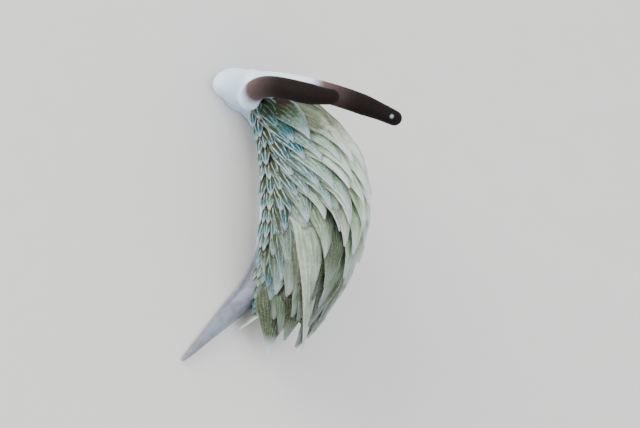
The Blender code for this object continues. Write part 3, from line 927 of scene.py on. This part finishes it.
def milky_skin():
    made = new_material("milky_skin")
    spot = object_spot(made)
    cloud, grain, stipple = (noise(made, spot, *kind) for kind in (SKIN_CLOUD, SKIN_GRAIN, SKIN_STIPPLE))
    milk = blend(made, soft_step(made, cloud, *MILK_CLOUDS), MILK_SHADE, MILK)
    clear = blend(made, soft_step(made, cloud, *TAIL_CLOUDS), TAIL_WARM, TAIL_CLEAR)
    body = blend(made, soft_step(made, value_of(made, "tail_share"), *TAIL_CLEARS), milk, clear)
    body = blend(made, value_of(made, "under_coat"), body, UNDER_COAT)
    dark = value_of(made, "dark_share")
    uneven = scaled(made, stipple, STIPPLE_PLAY, dark)
    pigment = blend(made, soft_step(made, uneven, *PIGMENT_DEEPENS), PIGMENT_THIN, PIGMENT_DEEP)
    flecks = times(made, soft_step(made, stipple, *FLECKS), soft_step(made, uneven, *FLECKS_FADE))
    pigment = blend(made, flecks, pigment, PIGMENT_FLECK)
    pigmented = soft_step(made, scaled(made, stipple, BORDER_PLAY, dark), *BORDER)
    colour = blend(made, pigmented, body, pigment)
    colour = blend(made, times(made, value_of(made, "speck"), SPECK_WHITE), colour, MILK)
    height = scaled(made, grain, SKIN_HEIGHT["grain"], times(made, cloud, SKIN_HEIGHT["cloud"]))
    roughness = scaled(made, pigmented, PIGMENT_ROUGHER, scaled(made, grain, *SKIN_ROUGHNESS))
    return finish_with(made, colour, {
        "Subsurface Weight": 0.45, "Subsurface Radius": (0.00035, 0.00030, 0.00028),
        "Subsurface Scale": 1.0, "Specular IOR Level": 0.18, "Sheen Weight": 0.02, "Sheen Roughness": 0.4,
    }, roughness, (height, *SKIN_BUMP))


skin_material = milky_skin()
print("made", skin_material.name, "of", len(skin_material.node_tree.nodes), "nodes")

# %% [markdown]
# A ceras is a clear bag around branches of the green gut. Everything on it follows the leaf, so it is drawn
# in the leaf's own map: one axis runs across it and the other from root to tip. The length and breadth that
# each leaf carries turn that map into millimetres, so a long leaf gets more granules and not longer ones.

# %% Where a point lies on its leaf
CHANCE_SHIFT = 37.0


def leaf_place(made):
    """How far across the leaf a point lies, from -1 to 1, how far along it, and its spot in millimetres."""
    leaf_map = add_node(made, "ShaderNodeUVMap", uv_map="leaf").outputs["UV"]
    split = add_node(made, "ShaderNodeSeparateXYZ", [(0, leaf_map)])
    across, share = scaled(made, split.outputs["X"], 2.0, -1.0), split.outputs["Y"]
    shift = times(made, value_of(made, "chance"), CHANCE_SHIFT)
    x_mm = scaled(made, times(made, across, value_of(made, "broad")), 0.5, shift)
    y_mm = scaled(made, share, value_of(made, "long"), shift)
    spot = add_node(made, "ShaderNodeCombineXYZ", [(0, x_mm), (1, y_mm), (2, shift)]).outputs[0]
    return across, share, spot


leaf_material = new_material("cerata_skin")
across, share, spot = leaf_place(leaf_material)
print("the leaf's place takes", len(leaf_material.node_tree.nodes), "nodes")

# %% [markdown]
# Fine white lines run along a ceras, rows of dark green granules fill the space between them, and its rim
# and tip are white, the rim whiter on one side by a painted highlight. The pale ones have long green
# streaks. A cosine across the leaf gives the lines, and a Voronoi texture gives the granules. Noise alone
# would give spots, but no rows and lines.

# %% Lines, granules and streaks of the leaf
LEAF_WAVER, LEAF_CLOUD = (2.2, 2.0), (5.0, 3.0)
LINE_APART, TEAL_LINES_WIDER = 0.105, 0.45
LINE_WAVER, LINE_EDGE, LINE_BREAKS, OLIVE_HIDES_LINES = 2.4, (0.55, 1.0), (0.25, 0.60), 0.75
GRANULES_PER_MM, GRANULE_PLAY, GRANULE_EDGE = 15.0, 0.85, (0.52, 0.24)
STREAKS, STREAKS_DRAWN, STREAK_EDGE = (2.0, 2.0), (4.0, 0.4, 1.0), (0.44, 0.60)


def white_lines(made, across, waver, cloud):
    apart = scaled(made, value_of(made, "tone"), TEAL_LINES_WIDER * LINE_APART, LINE_APART)
    line_count = math_node(made, "DIVIDE", value_of(made, "broad"), apart)
    turns = times(made, times(made, across, line_count), math.pi)
    wave = math_node(made, "COSINE", scaled(made, waver, LINE_WAVER, turns))
    shown = times(made, soft_step(made, cloud, *LINE_BREAKS),
                  scaled(made, value_of(made, "olive"), -OLIVE_HIDES_LINES, 1.0))
    return times(made, soft_step(made, wave, *LINE_EDGE), shown)


def granule_rows(made, spot):
    grain = add_node(made, "ShaderNodeTexVoronoi", [
        ("Vector", spot), ("Scale", GRANULES_PER_MM), ("Randomness", GRANULE_PLAY)])
    return soft_step(made, grain.outputs["Distance"], *GRANULE_EDGE)


def long_streaks(made, spot):
    drawn = add_node(made, "ShaderNodeVectorMath", [(0, spot), (1, STREAKS_DRAWN)], operation="MULTIPLY")
    return soft_step(made, noise(made, drawn.outputs[0], *STREAKS), *STREAK_EDGE)


waver, cloud = (noise(leaf_material, spot, *kind) for kind in (LEAF_WAVER, LEAF_CLOUD))
marks = {
    "lines": white_lines(leaf_material, across, waver, cloud),
    "granules": granule_rows(leaf_material, spot),
    "streaks": long_streaks(leaf_material, spot),
}
print("with lines, granules and streaks:", len(leaf_material.node_tree.nodes), "nodes")

# %% [markdown]
# The rim is faintly white all round and whiter on one side of the leaf, where a painted highlight stands
# for the light that the rim catches. The tip is white, the gut shows green in the root, and a few of the
# foremost leaves are blushed brown in the middle. Each of these is a soft step along one axis of the leaf's
# map, and the values that a leaf carries say how strong it is there.

# %% Rim, tip, root and blush of the leaf
RIM_FROM, RIM_FULL, RIM_PLAY = 0.25, 0.075, 0.10
# These two put a painted highlight on one side of the rim.
RIM_HIGHLIGHT_SIDE, RIM_HIGHLIGHT = (0.4, -0.4), (0.36, 0.08)
TIP_EDGE, TIP_BY_TONE = (0.20, 0.06), 0.04
ROOT_EDGE, ROOT_BY_TONE, ROOT_PLAY, HOOD_EDGE = (0.92, 0.60), -0.18, 0.35, (1.05, 0.70)
BLUSH_STARTS, BLUSH_ENDS, BLUSH_SIDE = (0.18, 0.26), (0.60, 0.46), (0.5, -0.3)


def white_rim_and_highlight(made, across, cloud):
    from_edge = math_node(made, "SUBTRACT", 1.0, math_node(made, "ABSOLUTE", across))
    rim = soft_step(made, scaled(made, cloud, RIM_PLAY, from_edge), RIM_FROM, RIM_FULL)
    # a painted highlight makes the rim whiter on one side of the leaf
    return times(made, rim, scaled(made, soft_step(made, across, *RIM_HIGHLIGHT_SIDE), *RIM_HIGHLIGHT))


def white_tip(made, share):
    from_tip = math_node(made, "SUBTRACT", 1.0, share)
    return soft_step(made, scaled(made, value_of(made, "tone"), TIP_BY_TONE, from_tip), *TIP_EDGE)


def green_root(made, share, cloud):
    from_root = scaled(made, cloud, ROOT_PLAY, share)
    root = soft_step(made, scaled(made, value_of(made, "tone"), ROOT_BY_TONE, from_root), *ROOT_EDGE)
    hood = times(made, value_of(made, "olive"), soft_step(made, from_root, *HOOD_EDGE))
    return math_node(made, "MAXIMUM", times(made, root, value_of(made, "gut")), hood)


def brown_blush(made, across, share):
    along_leaf = times(made, soft_step(made, share, *BLUSH_STARTS), soft_step(made, share, *BLUSH_ENDS))
    beside = soft_step(made, across, *BLUSH_SIDE)
    return times(made, times(made, value_of(made, "blush"), along_leaf), beside)


# The rim is partly white and partly a painted highlight.
marks["rim"] = white_rim_and_highlight(leaf_material, across, cloud)
marks["tip"] = white_tip(leaf_material, share)
marks["root"] = green_root(leaf_material, share, cloud)
marks["blush"] = brown_blush(leaf_material, across, share)
print("with rim, tip, root and blush:", len(leaf_material.node_tree.nodes), "nodes")

# %% [markdown]
# The colours are laid over each other from the inside out, as the animal's own layers are: first the clear
# bag, then the granules and the gut, and on top the white lines, rim and tip. A painted shade darkens the
# rear cerata towards a dark olive and dims their white, and a painted highlight whitens one side of each
# rim. A pair of numbers such as WHITE_LINES says how much a leaf's tone adds and how much each leaf has.
# Hue and brightness then vary a little.

# %% Cerata material
# The third colour is the dark olive of the painted shade at the rear.
LEAF_PALE, LEAF_TEAL, LEAF_REAR_SHADE = srgb(220, 238, 204), srgb(24, 104, 112), srgb(46, 52, 16)
LEAF_OLIVE, LEAF_STREAK, LEAF_BLUSH = srgb(46, 54, 2), srgb(112, 138, 74), srgb(52, 24, 22)
LEAF_WHITE = srgb(222, 238, 248)
GRANULE_DARK, GRANULE_SOFT = srgb(8, 36, 38), srgb(116, 142, 112)
# The first pair says how the painted shade at the rear grows with a leaf's tone.
REAR_SHADE_BY_TONE, STREAKED = (-0.85, 1.18), (-0.62, 0.62)
# The last pair says how much white is left under the painted shade at the rear.
GRANULES, WHITE_LINES, WHITE_LEFT_IN_REAR_SHADE = (0.60, 0.30), (0.36, 0.36), (-0.75, 1.0)
HUE, SATURATION, BRIGHTNESS = (0.03, 0.485), (0.30, 0.85), (0.50, 0.75)
GRANULE_HEIGHT, LEAF_ROUGHNESS, LEAF_BUMP = 0.5, (0.15, 0.42), (0.35, 0.00002)


def finish_leaf(made, marks, waver):
    tone, rear, chance = (value_of(made, name) for name in ("tone", "rear", "chance"))
    body = blend(made, times(made, marks["streaks"], scaled(made, tone, *STREAKED), clamp=True),
                 blend(made, tone, LEAF_PALE, LEAF_TEAL), LEAF_STREAK)
    # painted shade: the rear cerata are darkened towards a dark olive, the pale ones more
    body = blend(made, times(made, rear, scaled(made, tone, *REAR_SHADE_BY_TONE), clamp=True), body, LEAF_REAR_SHADE)
    body = blend(made, times(made, marks["granules"], scaled(made, tone, *GRANULES)),
                 body, blend(made, tone, GRANULE_SOFT, GRANULE_DARK))
    body = blend(made, marks["root"], body, LEAF_OLIVE)
    # the painted shade at the rear also dims the white lines and the rim
    white_left_in_shade = scaled(made, rear, *WHITE_LEFT_IN_REAR_SHADE)
    lit_lines = times(made, marks["lines"], times(made, scaled(made, tone, *WHITE_LINES), white_left_in_shade))
    for amount, colour in (
        (lit_lines, LEAF_WHITE), (marks["blush"], LEAF_BLUSH),
        (times(made, marks["rim"], white_left_in_shade), LEAF_WHITE),
        (times(made, marks["tip"], value_of(made, "snow")), LEAF_WHITE),
    ):
        body = blend(made, amount, body, colour)
    varied = add_node(made, "ShaderNodeHueSaturation", [
        ("Hue", scaled(made, chance, *HUE)), ("Saturation", scaled(made, chance, *SATURATION)),
        ("Value", scaled(made, waver, *BRIGHTNESS)), ("Color", body)])
    height = math_node(made, "SUBTRACT", marks["lines"], times(made, marks["granules"], GRANULE_HEIGHT))
    finish_with(made, varied.outputs[0], {
        "Subsurface Weight": 0.7, "Subsurface Radius": (0.00026, 0.00030, 0.00025), "Subsurface Scale": 1.0,
        "Specular IOR Level": 0.22, "Sheen Weight": 0.03, "Sheen Roughness": 0.45,
    }, scaled(made, marks["granules"], *LEAF_ROUGHNESS), (height, *LEAF_BUMP))


finish_leaf(leaf_material, marks, waver)
print("made", leaf_material.name, "of", len(leaf_material.node_tree.nodes), "nodes")

# %% [markdown]
# An eye is a black cup of pigment under clear skin. It reads as glossy black, with a trace of brown. A
# clear coat over a fairly smooth base gives the highlights of a wet lens.

# %% Eye material
EYE_CLOUD = (9000.0, 2.0)
EYE_BLACK, EYE_BROWN = srgb(8, 8, 10), srgb(34, 26, 24)
EYE_ROUGHNESS, EYE_BUMP = (0.12, 0.12), (0.05, 0.00001)


def eye_finish():
    made = new_material("black_eye")
    cloud = noise(made, object_spot(made), *EYE_CLOUD)
    return finish_with(made, blend(made, cloud, EYE_BLACK, EYE_BROWN),
                       {"Coat Weight": 0.6, "Coat Roughness": 0.05},
                       scaled(made, cloud, *EYE_ROUGHNESS), (cloud, *EYE_BUMP))


eye_material = eye_finish()
print("made", eye_material.name)

# %% [markdown]
# Each piece gets its material and rides on the body of the frame, and the plain solids it stands for are
# hidden.
# The cerata stand for the torso, as the plain torso carries the plain cerata. The slug has one body, as
# nothing on it moves.

# %% Give each piece its material and its place in the frame
SKIN_NODES = ("head", "neck", "torso", "foot", "tail", "rhinophore_left", "rhinophore_right")


def hand_over(piece, made, slot, *nodes):
    piece.data.materials.clear()
    piece.data.materials.append(made)
    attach(piece, "root")
    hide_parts(*nodes)


hand_over(skin, skin_material, "skin", *SKIN_NODES)
for piece in clusters:
    hand_over(piece, leaf_material, "cerata", "torso")
for name, piece in eyes.items():
    hand_over(piece, eye_material, "eye", name)
print("pieces:", ", ".join(p.name for p in [skin, *clusters, *eyes.values()]))

# %% [markdown]
# The photo looks down on the slug from behind its left side, through a macro lens, which sees almost
# without perspective. So the camera stands far off for such a small animal, with a long lens. The photo
# shows 36 of its pixels for a millimetre, which gives the width of the field. An orthographic camera would
# be simpler, but it sees no perspective at all.

# %% Camera
CAMERA_RIGHT, CAMERA_BACK = Vector((0.735, 0.05, 0.68)), Vector((-0.636, -0.316, 0.707))
CAMERA_AWAY, CAMERA_CLIP = 0.2, (0.01, 10)
PHOTO_WIDTH, PIXELS_PER_MM = 640, 36
AIM_RIGHT, AIM_UP = 1.444 * MM, 0.028 * MM
SENSOR_WIDTH = 36

camera_back = CAMERA_BACK.normalized()
camera_right = (CAMERA_RIGHT - camera_back * CAMERA_RIGHT.dot(camera_back)).normalized()
camera_up = camera_back.cross(camera_right)
aim = camera_right * AIM_RIGHT + camera_up * AIM_UP
bpy.ops.object.camera_add(location=aim + camera_back * CAMERA_AWAY)
camera = bpy.context.object
camera.name = "macro_camera"
camera.rotation_euler = Matrix((camera_right, camera_up, camera_back)).transposed().to_euler()
camera.data.sensor_width = SENSOR_WIDTH
camera.data.lens = SENSOR_WIDTH * CAMERA_AWAY / (PHOTO_WIDTH / PIXELS_PER_MM * MM)
camera.data.clip_start, camera.data.clip_end = CAMERA_CLIP
bpy.context.scene.camera = camera
print("lens:", round(camera.data.lens), "mm")

# %% [markdown]
# The museum's model lies on a plain pale floor in soft studio light. A big lamp from the upper left of the
# picture gives the form its light side, and a weaker lamp and a pale sky fill the shadows. One small lamp
# would show more relief, but its hard shadows would hide the lower cerata.

# %% Floor and light
FLOOR_SIZE, FLOOR_CLOUD = 1.0, (900.0, 2.0)
FLOOR_SHADE, FLOOR_LIGHT = srgb(222, 219, 213), srgb(226, 223, 218)
SKY_COLOUR, SKY_STRENGTH = (0.92, 0.95, 1.0, 1.0), 1.05
LAMPS = {
    "key_light": {"way": (-0.55, 0.75, 0.55), "away": 0.16, "size": 0.12, "power": 0.50,
                  "colour": (1.0, 0.98, 0.94)},
    "fill_light": {"way": (0.90, -0.10, 0.70), "away": 0.20, "size": 0.20, "power": 0.30,
                   "colour": (0.9, 0.95, 1.0)},
}


def lamp(name, way, away, size, power, colour):
    """A square lamp that faces the slug. Its way is how far right, up and back it is for the camera."""
    right, up, back = way
    place = (camera_right * right + camera_up * up + camera_back * back).normalized() * away
    bpy.ops.object.light_add(type="AREA", location=place)
    made = bpy.context.object
    made.name = name
    made.data.size = size
    made.data.energy = power
    made.data.color = colour
    made.rotation_euler = place.to_track_quat("Z", "Y").to_euler()


for name, settings in LAMPS.items():
    lamp(name, **settings)
bpy.ops.mesh.primitive_plane_add(size=FLOOR_SIZE)
floor = bpy.context.object
floor.name = "floor"
floor_material = new_material("pale_floor")
floor_cloud = noise(floor_material, object_spot(floor_material), *FLOOR_CLOUD)
finish_with(floor_material, blend(floor_material, floor_cloud, FLOOR_SHADE, FLOOR_LIGHT),
            {"Roughness": 0.85, "Specular IOR Level": 0.2})
floor.data.materials.append(floor_material)
world = bpy.data.worlds.new("studio_sky")
world.use_nodes = True
sky = world.node_tree.nodes["Background"]
sky.inputs["Color"].default_value, sky.inputs["Strength"].default_value = SKY_COLOUR, SKY_STRENGTH
bpy.context.scene.world = world
print("lamps:", ", ".join(LAMPS))
